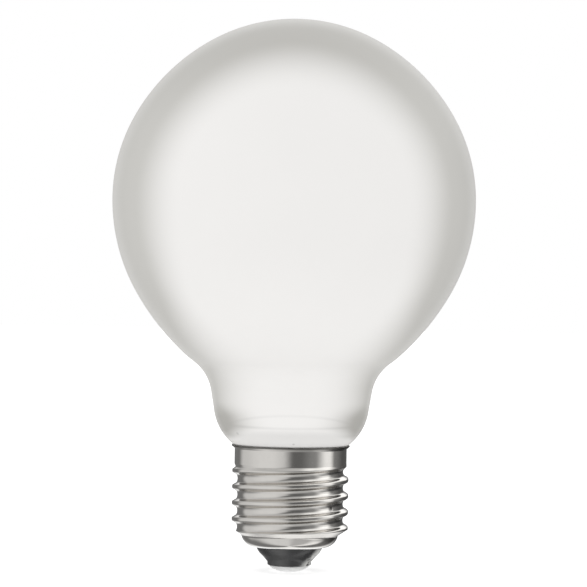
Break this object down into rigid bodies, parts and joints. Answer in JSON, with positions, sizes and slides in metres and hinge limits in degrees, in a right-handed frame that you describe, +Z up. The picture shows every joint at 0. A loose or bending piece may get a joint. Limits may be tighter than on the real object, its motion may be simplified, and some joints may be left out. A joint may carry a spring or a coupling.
{
  "type": "globe bulb",
  "caption": "Frosted round glass light bulb on a short neck, with an E27 Edison screw cap, a black insulator and a domed centre contact.",
  "frame": {"origin": "tip of the centre contact, on the bulb's axis", "axes": "+Z up along the bulb's axis, from the cap to the globe"},
  "size_m": [0.0815, 0.0814, 0.1238],
  "materials": {
    "frosted_glass": "matt white frosted glass",
    "nickel_plate": "bright nickel plate on formed sheet",
    "black_glass": "glossy black glass",
    "tin": "bright tinned metal"
  },
  "bodies": {
    "root": {"glass_globe": "frosted_glass", "screw_shell": "nickel_plate", "insulator": "black_glass", "centre_contact": "tin"}
  },
  "joints": []
}
